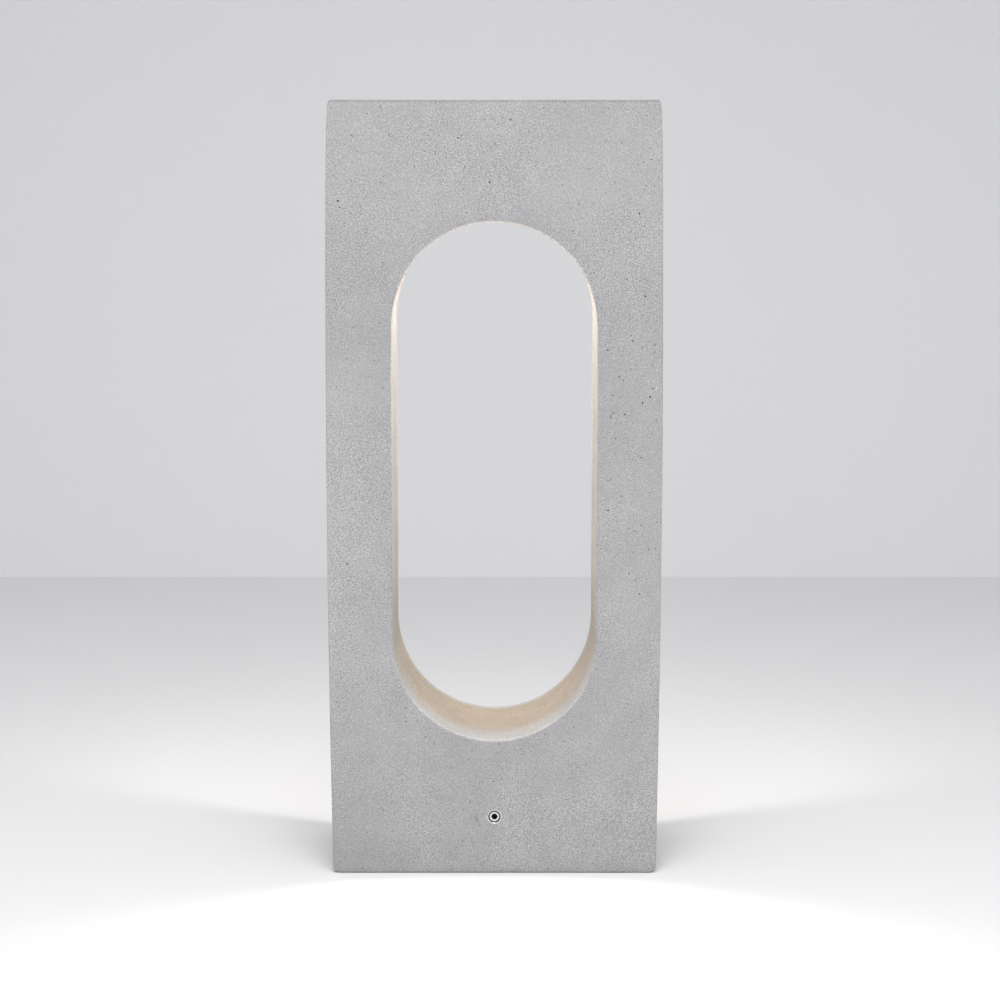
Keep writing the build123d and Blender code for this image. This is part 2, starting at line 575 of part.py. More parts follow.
with BuildPart() as led_housing:
    with BuildSketch(plan(DIFFUSER_Z)):
        RectangleRounded(2 * HOUSING_X, 2 * HOUSING_Y, HOUSING_CORNER_R)
    extrude(amount=POCKET_Z - DIFFUSER_Z)
    with BuildSketch(plan(DIFFUSER_Z)):
        RectangleRounded(2 * (DIFFUSER_X + SEAT_GAP), 2 * (DIFFUSER_Y + SEAT_GAP), CHAMBER_CORNER_R)
    extrude(amount=LEDGE_Z - DIFFUSER_Z, mode=Mode.SUBTRACT)
    with BuildSketch(plan(LEDGE_Z)):
        RectangleRounded(2 * CHAMBER_X, 2 * CHAMBER_Y, CHAMBER_CORNER_R)
    extrude(amount=CHAMBER_Z - LEDGE_Z, mode=Mode.SUBTRACT)
    with BuildSketch(plan(CHAMBER_Z)):
        with Locations((-HOUSING_SCREW_X, 0), (HOUSING_SCREW_X, 0)):
            Circle(HOUSING_HOLE_R)
    extrude(amount=TRAY_ROOF, mode=Mode.SUBTRACT)
    with BuildSketch(plan(CHAMBER_Z)):
        with Locations(*four_board_places):
            Circle(SMALL_TAP_R)
    extrude(amount=TRAY_ROOF - TAPPED_FLOOR, mode=Mode.SUBTRACT)
    with BuildSketch(plan(DIFFUSER_Z)):
        with Locations(*four_bezel_places):
            Circle(SMALL_TAP_R)
    extrude(amount=BEZEL_HOLE_DEPTH, mode=Mode.SUBTRACT)
    with BuildSketch(Plane.YZ.offset(CHAMBER_X)):
        with Locations((0, LEAD_Z_OUT)):
            Circle(CONDUIT_BORE_R)
    extrude(amount=HOUSING_X - CHAMBER_X, mode=Mode.SUBTRACT)
pieces["led_housing"] = led_housing

with BuildPart() as bezel:
    with BuildSketch(plan(BEZEL_LOW_Z)):
        RectangleRounded(2 * HOUSING_X, 2 * HOUSING_Y, HOUSING_CORNER_R)
        RectangleRounded(2 * CHAMBER_X, 2 * CHAMBER_Y, CHAMBER_CORNER_R, mode=Mode.SUBTRACT)
    extrude(amount=BEZEL_SHEET)
    chamfer(bezel.faces().sort_by(Axis.Z)[0].inner_wires()[0].edges(), BEZEL_CHAMFER)
    with Locations(*[Location((x, y, BEZEL_LOW_Z), (180, 0, 0)) for x, y in four_bezel_places]):
        CounterSinkHole(SMALL_CLEAR_R, BEZEL_SINK_R, depth=BEZEL_SHEET)
pieces["bezel"] = bezel

with BuildPart() as bezel_screws:
    with Locations(*[(x, y, BEZEL_LOW_Z + BEZEL_SCREW_SINK) for x, y in four_bezel_places]):
        add(flat_screw(FLAT_BEZEL, BEZEL_SCREW_LENGTH))
pieces["bezel_screws"] = bezel_screws

with BuildPart() as diffuser:
    with BuildSketch(plan(DIFFUSER_Z)):
        RectangleRounded(2 * DIFFUSER_X, 2 * DIFFUSER_Y, DIFFUSER_CORNER_R)
    extrude(amount=DIFFUSER_SHEET)
pieces["diffuser"] = diffuser

with BuildPart() as diffuser_gasket:
    with BuildSketch(plan(GASKET_Z)):
        RectangleRounded(2 * DIFFUSER_X, 2 * DIFFUSER_Y, DIFFUSER_CORNER_R)
        RectangleRounded(2 * CHAMBER_X, 2 * CHAMBER_Y, CHAMBER_CORNER_R, mode=Mode.SUBTRACT)
    extrude(amount=GASKET_SHEET)
pieces["diffuser_gasket"] = diffuser_gasket

with BuildPart() as thermal_pad:
    with BuildSketch(plan(PAD_Z)):
        Rectangle(2 * LED_BOARD_X, 2 * LED_BOARD_Y)
        with Locations(*four_board_places):
            Circle(PAD_HOLE_R, mode=Mode.SUBTRACT)
    extrude(amount=PAD_SHEET)
pieces["thermal_pad"] = thermal_pad

with BuildPart() as led_board:
    with BuildSketch(plan(LED_BOARD_Z)):
        Rectangle(2 * LED_BOARD_X, 2 * LED_BOARD_Y)
        with Locations(*four_board_places):
            Circle(SMALL_CLEAR_R, mode=Mode.SUBTRACT)
    extrude(amount=BOARD_SHEET)
pieces["led_board"] = led_board

with BuildPart() as board_screws:
    with Locations(*[(x, y, LED_BOARD_Z) for x, y in four_board_places]):
        add(screw(CAP_M2_5, BOARD_SCREW_LENGTH))
pieces["board_screws"] = board_screws

with BuildPart() as board_connector:
    with BuildSketch(plan(LED_BOARD_Z)):
        with Locations((CONNECTOR_X, 0)):
            Rectangle(*CONNECTOR_SIZE)
    extrude(amount=-CONNECTOR_HEIGHT)
    with BuildSketch(Plane.YZ.offset(CONNECTOR_X + CONNECTOR_SIZE[0] / 2)):
        with Locations((-CONTACT_Y, LEAD_Z_OUT), (CONTACT_Y, LEAD_Z_OUT)):
            Rectangle(CONTACT_SIZE, CONTACT_SIZE)
    extrude(amount=-CONTACT_DEPTH, mode=Mode.SUBTRACT)
pieces["board_connector"] = board_connector

with BuildPart() as led_chips:
    with BuildSketch(plan(LED_BOARD_Z)):
        with Locations((LED_X, 0)):
            with GridLocations(LED_PITCH_X, LED_PITCH_Y, LED_COLUMNS, LED_ROWS):
                Rectangle(LED_SIZE, LED_SIZE)
    extrude(amount=-LED_SHEET)
pieces["led_chips"] = led_chips

with BuildPart() as housing_inserts:
    with Locations((-HOUSING_SCREW_X, 0, 0), (HOUSING_SCREW_X, 0, 0)):
        add(ring(POCKET_Z, INSERT_LENGTH, INSERT_R, CAP_M3[0] + RUNNING_GAP))
pieces["housing_inserts"] = housing_inserts

with BuildPart() as housing_screws:
    with Locations((-HOUSING_SCREW_X, 0, CHAMBER_Z), (HOUSING_SCREW_X, 0, CHAMBER_Z)):
        add(screw(CAP_M3, HOUSING_SCREW_LENGTH))
pieces["housing_screws"] = housing_screws

# ---- One file per piece ----------------------------------------------------------------------------

os.makedirs("parts", exist_ok=True)
for label, piece in pieces.items():
    piece.part.label = label
    export_step(piece.part, f"parts/{label}.step")
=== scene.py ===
"""Looks of the cast concrete garden light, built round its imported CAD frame. Metres, +Z up, front -Y."""

import json
import math
import random

import bmesh
import bpy
import numpy as np
from mathutils import Matrix, Vector, noise
from mathutils.bvhtree import BVHTree


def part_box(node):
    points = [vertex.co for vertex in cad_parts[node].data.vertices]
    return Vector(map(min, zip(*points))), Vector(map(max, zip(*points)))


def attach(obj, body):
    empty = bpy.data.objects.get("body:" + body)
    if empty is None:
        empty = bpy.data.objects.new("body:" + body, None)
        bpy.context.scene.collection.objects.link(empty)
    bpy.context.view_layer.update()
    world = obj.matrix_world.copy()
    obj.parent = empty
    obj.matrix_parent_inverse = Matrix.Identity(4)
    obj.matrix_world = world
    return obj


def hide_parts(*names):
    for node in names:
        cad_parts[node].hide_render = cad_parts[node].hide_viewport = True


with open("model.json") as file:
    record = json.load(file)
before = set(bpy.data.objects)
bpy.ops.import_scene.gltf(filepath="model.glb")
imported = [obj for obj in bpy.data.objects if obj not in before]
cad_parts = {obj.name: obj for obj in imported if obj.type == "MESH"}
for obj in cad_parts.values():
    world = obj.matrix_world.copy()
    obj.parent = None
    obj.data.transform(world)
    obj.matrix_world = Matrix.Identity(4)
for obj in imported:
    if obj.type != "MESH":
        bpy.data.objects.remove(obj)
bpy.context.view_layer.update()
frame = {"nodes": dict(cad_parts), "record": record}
nodes = frame["nodes"]
MM = 0.001

# ---- The block's outline, read from the CAD casting ------------------------------------------------

RIM_R = 1.2 * MM  # tunnel rim
ARRIS_R = 0.6 * MM  # edges of the front and back faces
TOP_CORNER_R = 2.0 * MM
FOOT_CORNER_R = 4.0 * MM
EDGE_STEP = 2.3 * MM  # mesh size along the outline
PLAIN_Y = 35.0 * MM  # a depth that misses the cavity and the pocket
FACE_STEPS, DEPTH_STEPS, ROUND_STEPS = 28, 34, 4

tree = BVHTree.FromObject(nodes["concrete_body"], bpy.context.evaluated_depsgraph_get())
low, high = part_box("concrete_body")
openings = {o["name"]: o["box_m"] for o in frame["record"]["physics"]["openings"]}
ARC_LOW_Z = openings["light_tunnel_middle"][0][2]
ARC_HIGH_Z = openings["light_tunnel_middle"][1][2]


def wall(start, direction):
    """Where a ray from start first meets the CAD casting."""
    return tree.ray_cast(Vector(start), Vector(direction))[0]


TUNNEL_R = wall((0, PLAIN_Y, (ARC_LOW_Z + ARC_HIGH_Z) / 2), (1, 0, 0)).x
TOP_HALF = wall((1, PLAIN_Y, high.z - 4 * MM), (-1, 0, 0)).x  # half width near the top
HALF_DEPTH = high.y


def half_width_curve():
    """Smooth half width of the block as a function of height, fitted to the CAD sides."""
    heights = np.linspace(low.z + 1.5 * FOOT_CORNER_R, high.z - 1.5 * TOP_CORNER_R, 80)
    widths = [wall((1, PLAIN_Y, z), (-1, 0, 0)).x for z in heights]
    return np.polynomial.Polynomial.fit(heights, widths, 7)


def outline(half_width):
    """Closed outline of the block seen from the front: rows of x, z, outward normal x and z."""
    foot = half_width(low.z) - FOOT_CORNER_R
    top = half_width(high.z) - TOP_CORNER_R
    right = [(x, low.z) for x in np.linspace(0, foot, round(foot / EDGE_STEP))[:-1]]
    for turn in np.linspace(0, math.pi / 2, 7):
        right.append((foot + FOOT_CORNER_R * math.sin(turn), low.z + FOOT_CORNER_R * (1 - math.cos(turn))))
    side = np.linspace(low.z + FOOT_CORNER_R, high.z - TOP_CORNER_R, round((high.z - low.z) / EDGE_STEP))
    right += [(half_width(z), z) for z in side[1:-1]]
    for turn in np.linspace(0, math.pi / 2, 6):
        right.append((top + TOP_CORNER_R * math.cos(turn), high.z - TOP_CORNER_R * (1 - math.sin(turn))))
    right += [(x, high.z) for x in np.linspace(top, 0, round(top / EDGE_STEP))[1:]]
    points = np.array(right + [(-x, z) for x, z in right[-2:0:-1]])
    along = np.roll(points, -1, axis=0) - np.roll(points, 1, axis=0)
    along /= np.linalg.norm(along, axis=1, keepdims=True)
    return points, np.stack([along[:, 1], -along[:, 0]], axis=1)


def ribbon():
    """The block's skin as a closed grid: once round the outline by once round its section."""
    outer, outward = outline(half_width_curve())
    spine = np.stack([np.zeros(len(outer)), np.clip(outer[:, 1], ARC_LOW_Z, ARC_HIGH_Z)], axis=1)
    radial = outer - spine
    radial /= np.linalg.norm(radial, axis=1, keepdims=True)
    inner = spine + TUNNEL_R * radial
    rows, normals = [], []

    def row(points, y, across, normal_y):
        rows.append(np.column_stack([points[:, 0], np.full(len(points), y), points[:, 1]]))
        normals.append(np.column_stack([across[:, 0], np.full(len(points), normal_y), across[:, 1]]))

    wall_y, side_y = HALF_DEPTH - RIM_R, HALF_DEPTH - ARRIS_R
    quarter = np.linspace(0, math.pi / 2, ROUND_STEPS + 1)
    for y in np.linspace(-wall_y, wall_y, DEPTH_STEPS + 1):
        row(inner, y, -radial, 0)
    for turn in quarter[1:]:
        row(inner + RIM_R * (1 - math.cos(turn)) * radial, wall_y + RIM_R * math.sin(turn),
            -radial * math.cos(turn), math.sin(turn))
    near, far = inner + RIM_R * radial, outer - ARRIS_R * outward
    for share in np.linspace(0, 1, FACE_STEPS + 1)[1:]:
        row(near + (far - near) * share, HALF_DEPTH, 0 * radial, 1)
    for turn in quarter[1:]:
        row(far + ARRIS_R * math.sin(turn) * outward, side_y + ARRIS_R * math.cos(turn),
            outward * math.sin(turn), math.cos(turn))
    for y in np.linspace(side_y, -side_y, DEPTH_STEPS + 1)[1:]:
        row(outer, y, outward, 0)
    for turn in quarter[1:]:
        row(far + ARRIS_R * math.cos(turn) * outward, -side_y - ARRIS_R * math.sin(turn),
            outward * math.cos(turn), -math.sin(turn))
    for share in np.linspace(1, 0, FACE_STEPS + 1)[1:]:
        row(near + (far - near) * share, -HALF_DEPTH, 0 * radial, -1)
    for turn in quarter[1:-1]:
        row(inner + RIM_R * (1 - math.sin(turn)) * radial, -wall_y - RIM_R * math.cos(turn),
            -radial * math.sin(turn), -math.cos(turn))
    return np.stack(rows), np.stack(normals)


# ---- Wear of the cast surface ----------------------------------------------------------------------

WAVE_DEPTH, WAVE_SIZE = 0.22 * MM, 48 * MM  # slow unevenness of the mould
RIPPLE_DEPTH, RIPPLE_SIZE = 0.05 * MM, 9 * MM
CRUMBLE_DEPTH, CRUMBLE_SIZE = 0.24 * MM, 3.4 * MM  # ragged arrises
CRUMBLE_BIAS = 0.15  # raises the share of an arris that has crumbled
EDGE_GAIN = 5  # strengthens the crumbling at the edges of the faces
WORN = 0.01  # less edge than this doesn't crumble
RIPPLE_SHIFT = Vector((7, 3, 1))  # keeps the ripple apart from the wave
SCREW_CLEAR = 12 * MM  # wear fades out within this distance of a sleeve


def weather(points, normals):
    """Presses the skin inwards by soft noise, more on the arrises, and less near the sleeves."""
    sleeve_low, sleeve_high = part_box("sleeve_front")
    screw_x, screw_z = (sleeve_low.x + sleeve_high.x) / 2, (sleeve_low.z + sleeve_high.z) / 2
    flat_p, flat_n = points.reshape(-1, 3), normals.reshape(-1, 3)
    sharp = 1 - np.abs(flat_n).max(axis=1)
    edge = np.clip((np.abs(flat_n[:, 1]) * (1 - np.abs(flat_n[:, 1]))) * EDGE_GAIN, 0, 1)
    out = flat_p.copy()
    for i, (p, n) in enumerate(zip(flat_p, flat_n)):
        v = Vector(p)
        wave = 0.5 + 0.5 * noise.noise(v / WAVE_SIZE)
        ripple = 0.5 + 0.5 * noise.noise(v / RIPPLE_SIZE + RIPPLE_SHIFT)
        press = WAVE_DEPTH * wave + RIPPLE_DEPTH * ripple
        if sharp[i] > WORN or edge[i] > WORN:
            crumble = max(0.0, noise.fractal(v / CRUMBLE_SIZE, 1.0, 2.0, 3) + CRUMBLE_BIAS)
            press += CRUMBLE_DEPTH * crumble * max(edge[i], sharp[i])
        near = math.hypot(p[0] - screw_x, p[2] - screw_z)
        if near < SCREW_CLEAR and abs(n[1]) > 0.5:
            press *= (near / SCREW_CLEAR) ** 2
        out[i] = p - n * press
    return out.reshape(points.shape)


def grid_mesh(points):
    """Closed quad mesh from a grid that wraps both ways."""
    across, around = points.shape[:2]
    index = np.arange(across * around).reshape(across, around)
    right, down = np.roll(index, -1, axis=1), np.roll(index, -1, axis=0)
    both = np.roll(down, -1, axis=1)
    quads = np.stack([index, right, both, down], axis=-1).reshape(-1, 4)
    mesh = bpy.data.meshes.new("block")
    mesh.from_pydata(points.reshape(-1, 3).tolist(), [], quads.tolist())
    work = bmesh.new()
    work.from_mesh(mesh)
    bmesh.ops.recalc_face_normals(work, faces=work.faces)
    work.to_mesh(mesh)
    work.free()
    return mesh


CORNER_STEPS = 6


def rounded_box(work, x, y, z_low, z_high, radius):
    """Upright box with rounded corners, centred on the axis."""
    ring = []
    for sx, sy, start in ((1, 1, 0), (-1, 1, 1), (-1, -1, 2), (1, -1, 3)):
        for step in range(CORNER_STEPS + 1):
            turn = (start + step / CORNER_STEPS) * math.pi / 2
            ring.append((sx * (x - radius) + radius * math.cos(turn),
                         sy * (y - radius) + radius * math.sin(turn)))
    top = [work.verts.new((px, py, z_high)) for px, py in ring]
    bottom = [work.verts.new((px, py, z_low)) for px, py in ring]
    work.faces.new(top)
    work.faces.new(bottom[::-1])
    for a in range(len(ring)):
        b = (a + 1) % len(ring)
        work.faces.new((bottom[a], bottom[b], top[b], top[a]))


def hull(work, points):
    """Adds the convex hull of points."""
    made = [work.verts.new(p) for p in points]
    out = bmesh.ops.convex_hull(work, input=made)
    loose = [g for g in out["geom_interior"] + out["geom_unused"] if isinstance(g, bmesh.types.BMVert)]
    bmesh.ops.delete(work, geom=list(set(loose)), context="VERTS")


def solids_of(node):
    """Point lists of the separate solids of a CAD node."""
    work = bmesh.new()
    work.from_mesh(nodes[node].data)
    bmesh.ops.remove_doubles(work, verts=work.verts, dist=1e-6)
    todo, groups = set(work.verts), []
    while todo:
        seed = todo.pop()
        group, front = [seed], [seed]
        while front:
            vert = front.pop()
            for edge in vert.link_edges:
                other = edge.other_vert(vert)
                if other in todo:
                    todo.discard(other)
                    group.append(other)
                    front.append(other)
        groups.append([v.co.copy() for v in group])
    work.free()
    return groups


# Air holes: where they lie on the casting, and how many are tried. Those too close to another are left out.
PORE_FIELDS = [
    ("front_right", 84), ("front_left", 20), ("front_top", 40), ("front_foot", 8),
    ("back", 70), ("side_right", 34), ("side_left", 34), ("top", 22), ("tunnel", 26),
]
PORE_R_LOW, PORE_R_TOP = 0.30 * MM, 0.78 * MM
PORE_GAP = 2.2 * MM
PORE_POWER = 2.2  # above 1, most holes are small
PORE_SEED = 11
MOUTH_LENGTH = 6 * MM  # how far the conduit's ends are let into the casting


def pore_place(field, draw, half_width):
    """A random place on one field of the casting's skin."""
    z = draw.uniform(low.z + 8 * MM, high.z - 4 * MM)
    y = draw.uniform(-HALF_DEPTH + 4 * MM, HALF_DEPTH - 4 * MM)
    side = half_width(z)
    if field == "front_right":
        z = draw.triangular(ARC_LOW_Z, high.z - 6 * MM, ARC_HIGH_Z)
        return Vector((draw.uniform(TUNNEL_R + 5 * MM, side - 4 * MM), -HALF_DEPTH, z))
    if field == "front_left":
        z = draw.uniform(ARC_LOW_Z, high.z - 6 * MM)
        return Vector((-draw.uniform(TUNNEL_R + 5 * MM, side - 4 * MM), -HALF_DEPTH, z))
    if field == "front_top":
        x = draw.uniform(-0.3, 1) * (side - 6 * MM)
        return Vector((x, -HALF_DEPTH, draw.uniform(ARC_HIGH_Z + TUNNEL_R + 5 * MM, high.z - 5 * MM)))
    if field == "front_foot":
        x = draw.uniform(-1, 1) * (side - 8 * MM)
        return Vector((x, -HALF_DEPTH, draw.uniform(low.z + 45 * MM, ARC_LOW_Z - TUNNEL_R - 5 * MM)))
    if field == "back":
        while True:
            x = draw.uniform(-1, 1) * (side - 5 * MM)
            if math.hypot(x, z - min(max(z, ARC_LOW_Z), ARC_HIGH_Z)) > TUNNEL_R + 4 * MM:
                return Vector((x, HALF_DEPTH, z))
            z = draw.uniform(low.z + 40 * MM, high.z - 4 * MM)
    if field in ("side_right", "side_left"):
        return Vector((side if field == "side_right" else -side, y, z))
    if field == "top":
        return Vector((draw.uniform(-1, 1) * (side - 8 * MM), y, high.z))
    turn = draw.uniform(-0.35, 1.0) * math.pi
    centre = ARC_LOW_Z if turn < 0 else draw.uniform(ARC_LOW_Z, ARC_HIGH_Z)
    across = math.cos(turn) if turn < 0 else draw.choice((-1, 1))
    down = math.sin(turn) if turn < 0 else 0.0
    return Vector((TUNNEL_R * across, y, centre + TUNNEL_R * down))


def add_pores(work, half_width):
    """Small stretched balls that cut the air holes, none too close to another."""
    draw = random.Random(PORE_SEED)
    kept = []
    for field, count in PORE_FIELDS:
        for _ in range(count):
            place = pore_place(field, draw, half_width)
            radius = PORE_R_LOW + (PORE_R_TOP - PORE_R_LOW) * draw.random() ** PORE_POWER
            if any((place - other).length < PORE_GAP for other in kept):
                continue
            kept.append(place)
            spin = Matrix.Rotation(draw.uniform(0, math.tau), 4, "Z")
            spin = spin @ Matrix.Rotation(draw.random(), 4, "X")
            stretch = Matrix.Diagonal((1, draw.uniform(0.75, 1.3), draw.uniform(0.8, 1.2), 1))
            bmesh.ops.create_icosphere(work, subdivisions=1, radius=radius,
                                       matrix=Matrix.Translation(place) @ spin @ stretch)


def cutter(half_width):
    """Everything that is cut from the block: cavity, pocket, sockets of the cast-in pieces and pores."""
    work = bmesh.new()
    mid_low = (0, 0, low.z + 20 * MM)
    mid_high = (0, 0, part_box("bezel")[0].z)
    rounded_box(work, wall(mid_low, (1, 0, 0)).x, wall(mid_low, (0, 1, 0)).y, low.z - 5 * MM,
                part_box("driver_case")[1].z, 8 * MM)
    rounded_box(work, wall(mid_high, (1, 0, 0)).x, wall(mid_high, (0, 1, 0)).y, ARC_HIGH_Z,
                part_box("led_housing")[1].z, 3 * MM)
    for name in ("sleeve_front", "sleeve_rear", "driver_inserts", "housing_inserts"):
        for solid in solids_of(name):
            hull(work, solid)
    conduit_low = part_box("conduit")[0]
    tube = solids_of("conduit")[0]
    hull(work, [v for v in tube if v.z < conduit_low.z + MOUTH_LENGTH])
    hull(work, [v for v in tube if v.z > ARC_HIGH_Z and v.x < conduit_low.x + MOUTH_LENGTH])
    add_pores(work, half_width)
    bmesh.ops.recalc_face_normals(work, faces=work.faces)
    mesh = bpy.data.meshes.new("cutter")
    work.to_mesh(mesh)
    work.free()
    return mesh


def new_object(name, mesh):
    piece = bpy.data.objects.new(name, mesh)
    bpy.context.scene.collection.objects.link(piece)
    return piece


def soften(mesh, degrees=32):
    """Smooth shading, kept crisp where faces meet at more than the angle."""
    mesh.shade_smooth()
    mesh.set_sharp_from_angle(angle=math.radians(degrees))


def make_block():
    points, normals = ribbon()
    block = new_object("concrete_block", grid_mesh(weather(points, normals)))
    tool = new_object("cutter", cutter(half_width_curve()))
    cut = block.modifiers.new("cut", "BOOLEAN")
    cut.operation = "DIFFERENCE"
    cut.solver = "MANIFOLD"
    cut.object = tool
    solid = bpy.data.meshes.new_from_object(block.evaluated_get(bpy.context.evaluated_depsgraph_get()))
    block.modifiers.clear()
    block.data = solid
    bpy.data.objects.remove(tool)
    solid.materials.clear()
    soften(solid)
    print("block faces", len(solid.polygons))
    return block


# ---- Materials -------------------------------------------------------------------------------------


class Shader:
    """Short names for building one node material."""

    def __init__(self, name):
        self.material = bpy.data.materials.new(name)
        self.material.use_nodes = True
        self.tree = self.material.node_tree
        self.tree.nodes.clear()
        self.output = self.tree.nodes.new("ShaderNodeOutputMaterial")
        self.bsdf = self.tree.nodes.new("ShaderNodeBsdfPrincipled")
        self.tree.links.new(self.bsdf.outputs[0], self.output.inputs[0])
        self.place = self.tree.nodes.new("ShaderNodeTexCoord").outputs["Object"]

    def put(self, value, socket):
        if isinstance(value, bpy.types.NodeSocket):
            self.tree.links.new(value, socket)
        elif hasattr(socket.default_value, "__len__") and not hasattr(value, "__len__"):
            socket.default_value = [value] * len(socket.default_value)
        elif hasattr(value, "__len__") and len(socket.default_value) == 4 and len(value) == 3:
            socket.default_value = (*value, 1)
        else:
            socket.default_value = value

    def math(self, operation, a, b=0.0):
        node = self.tree.nodes.new("ShaderNodeMath")
        node.operation = operation
        self.put(a, node.inputs[0])
        self.put(b, node.inputs[1])
        return node.outputs[0]

    def times(self, a, b):
        return self.math("MULTIPLY", a, b)

    def plus(self, a, b):
        return self.math("ADD", a, b)

    def minus(self, a, b):
        return self.math("SUBTRACT", a, b)

    def noise(self, size, detail=2.0, rough=0.5, place=None):
        """Noise of a feature size in metres, 0 to 1 about 0.5."""
        node = self.tree.nodes.new("ShaderNodeTexNoise")
        self.put(place or self.place, node.inputs["Vector"])
        node.inputs["Scale"].default_value = 1 / size
        node.inputs["Detail"].default_value = detail
        node.inputs["Roughness"].default_value = rough
        return node.outputs["Fac"]

    def cells(self, size, output="Distance"):
        node = self.tree.nodes.new("ShaderNodeTexVoronoi")
        self.put(self.place, node.inputs["Vector"])
        node.inputs["Scale"].default_value = 1 / size
        return node.outputs[output]

    def ramp(self, value, start, end, to_start=0.0, to_end=1.0):
        node = self.tree.nodes.new("ShaderNodeMapRange")
        node.interpolation_type = "SMOOTHSTEP"
        self.put(value, node.inputs["Value"])
        names = ("From Min", "From Max", "To Min", "To Max")
        for socket, number in zip(names, (start, end, to_start, to_end)):
            node.inputs[socket].default_value = number
        return node.outputs["Result"]

    def mix(self, share, a, b):
        node = self.tree.nodes.new("ShaderNodeMix")
        node.data_type = "RGBA"
        self.put(share, node.inputs[0])
        self.put(a, node.inputs[6])
        self.put(b, node.inputs[7])
        return node.outputs[2]

    def scale(self, colour, amount):
        """Colour times a number."""
        node = self.tree.nodes.new("ShaderNodeVectorMath")
        node.operation = "SCALE"
        self.put(colour, node.inputs[0])
        self.put(amount, node.inputs["Scale"])
        return node.outputs[0]

    def xyz(self):
        node = self.tree.nodes.new("ShaderNodeSeparateXYZ")
        self.put(self.place, node.inputs[0])
        return node.outputs[0], node.outputs[1], node.outputs[2]

    def bump(self, height, distance, strength=1.0, under=None):
        node = self.tree.nodes.new("ShaderNodeBump")
        self.put(height, node.inputs["Height"])
        node.inputs["Distance"].default_value = distance
        node.inputs["Strength"].default_value = strength
        if under:
            self.put(under, node.inputs["Normal"])
        return node.outputs[0]

    def set(self, **inputs):
        for name, value in inputs.items():
            self.put(value, self.bsdf.inputs[name.replace("_", " ")])


SAND_SIZE, SAND_AMOUNT = 0.80 * MM, 0.52
FLECK_CELL, FLECK_GAIN = 1.8 * MM, 0.50  # pale sand grains
PIN_CELL, PIN_PAINTED_SHADE = 3.7 * MM, 0.70  # pin holes too small to model, shown by painted shade
BAND_WIDTH, BAND_LOSS = 22 * MM, 0.035  # darker band round the tunnel
FACE_TINT, BAND_TINT = (0.446, 0.446, 0.442), (0.443, 0.436, 0.452)
FOOT_SHADE, TOP_SHADE = 0.86, 0.74  # brightness towards the foot, and painted shade on the top arris
# The first number is how dark the painted shade in the air holes is; the second darkens the rub mark.
PORE_PAINTED_SHADE, SCUFF_LOSS = 0.78, 0.36
# Painted light in the tunnel: the lamp's warm light deep in the bottom, a neutral mix with studio light
# near the mouths, the lamp's light on the paler walls.
TUNNEL_WARM_LIGHT = (0.315, 0.266, 0.215)  # painted warm lamp light and its bounce, deep in the bottom of the tunnel
TUNNEL_MOUTH_LIGHT = (0.372, 0.366, 0.362)  # painted light on the tunnel bottom near the mouths, a neutral mix of studio and lamp light
TUNNEL_WALL_LIGHT = (0.508, 0.466, 0.438)
RIM_HIGHLIGHT = (0.90, 0.83, 0.77)  # painted highlight: a warm line along the crown's rim
